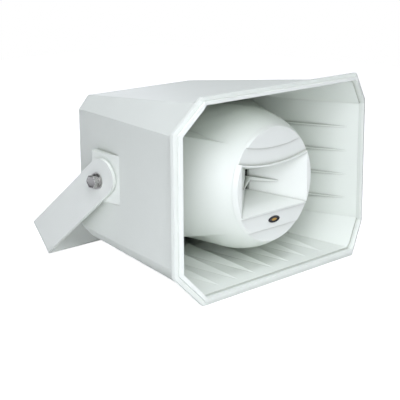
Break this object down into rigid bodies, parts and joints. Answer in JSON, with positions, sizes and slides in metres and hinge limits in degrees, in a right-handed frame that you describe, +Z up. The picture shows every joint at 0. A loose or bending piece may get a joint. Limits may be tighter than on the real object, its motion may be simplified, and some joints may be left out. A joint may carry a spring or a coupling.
{
  "type": "pa speaker cabinet",
  "caption": "Weatherproof outdoor two-way horn loudspeaker: octagonal plastic flare around a round central body with a small treble horn, on a tilting flat-bar U bracket.",
  "frame": {"origin": "centre of the middle fixing hole on the outer face of the bracket's crossbar", "axes": "+X along the width of the mouth, -Y out of the mouth along the level horn axis, +Z up"},
  "size_m": [0.38, 0.3389, 0.258],
  "materials": {
    "cabinet_plastic": "satin textured ABS, off-white",
    "bulb_plastic": "satin ABS, off-white",
    "horn_plastic": "satin ABS, off-white",
    "trim_plastic": "satin ABS, off-white",
    "black_plastic": "moulded, matt black",
    "badge_black": "gloss black",
    "badge_gold": "hot-stamped gold",
    "label_film": "printed film, blank",
    "bracket_paint": "powder-coated steel, light grey",
    "stainless_bolt": "stainless steel, machined",
    "screw_steel": "stainless screws",
    "zinc_steel": "zinc plated",
    "insert_brass": "machined brass",
    "rubber_black": "EPDM",
    "foam_gasket": "closed-cell foam",
    "ferrite": "ferrite, matt",
    "paper_cone": "coated paper",
    "soft_fabric": "treated cloth",
    "copper_wire": "enamelled copper",
    "steel_laminate": "laminated steel, varnished",
    "coil_tape": "polyester tape",
    "circuit_board": "glass-fibre, green mask",
    "capacitor_film": "sleeved can",
    "nylon_grey": "polyamide",
    "terminal_plastic": "polyamide"
  },
  "bodies": {
    "bracket": {"mounting_bracket": "bracket_paint"},
    "cabinet": {"cabinet_shell": "cabinet_plastic", "mouth_trim": "trim_plastic", "bulb_body": "bulb_plastic", "bulb_seal_ring": "rubber_black", "bulb_tail": "bulb_plastic", "bulb_tail_screws": "screw_steel", "hf_horn": "horn_plastic", "name_badge": "badge_black", "badge_emblem": "badge_gold", "hf_gasket": "foam_gasket", "hf_top_plate": "zinc_steel", "hf_surround": "soft_fabric", "hf_magnet": "ferrite", "hf_back_plate": "zinc_steel", "hf_screws": "screw_steel", "throat_baffle": "black_plastic", "baffle_screws": "screw_steel", "woofer_gasket": "foam_gasket", "woofer_basket": "zinc_steel", "woofer_surround": "rubber_black", "woofer_spider": "soft_fabric", "woofer_top_plate": "zinc_steel", "woofer_magnet": "ferrite", "woofer_back_plate": "zinc_steel", "woofer_screws": "screw_steel", "rear_gasket": "rubber_black", "rear_cover": "cabinet_plastic", "rear_cover_screws": "screw_steel", "rating_plate": "label_film", "transformer_core": "steel_laminate", "transformer_coil": "coil_tape", "transformer_bolts": "screw_steel", "crossover_board": "circuit_board", "board_standoffs": "nylon_grey", "board_screws": "screw_steel", "crossover_capacitors": "capacitor_film", "crossover_inductor": "copper_wire", "terminal_block": "terminal_plastic", "terminal_screws": "screw_steel", "gland_body": "nylon_grey", "gland_cap": "nylon_grey", "gland_seal": "rubber_black", "gland_locknut": "nylon_grey", "pivot_inserts": "insert_brass", "pivot_bolts": "stainless_bolt", "pivot_washers": "stainless_bolt", "spring_washers": "stainless_bolt", "friction_washers": "rubber_black"},
    "cone": {"woofer_cone": "paper_cone", "woofer_dust_cap": "soft_fabric", "woofer_voice_coil": "copper_wire"},
    "dome": {"hf_dome": "soft_fabric", "hf_voice_coil": "copper_wire"}
  },
  "joints": [
    {"name": "tilt", "type": "hinge", "parent": "bracket", "child": "cabinet", "pos_m": [0, -0.12877, 0.10317], "axis": [1, 0, 0], "range_deg": [-125, 50]},
    {"name": "cone_travel", "type": "slide", "parent": "cabinet", "child": "cone", "axis": [0, 1, 0], "range_m": [-0.004, 0.004], "stiffness_N_per_m": 2500, "deforming": ["woofer_surround", "woofer_spider"]},
    {"name": "dome_travel", "type": "slide", "parent": "cabinet", "child": "dome", "axis": [0, 1, 0], "range_m": [-0.0003, 0.0003], "stiffness_N_per_m": 20000, "deforming": ["hf_surround"]}
  ]
}
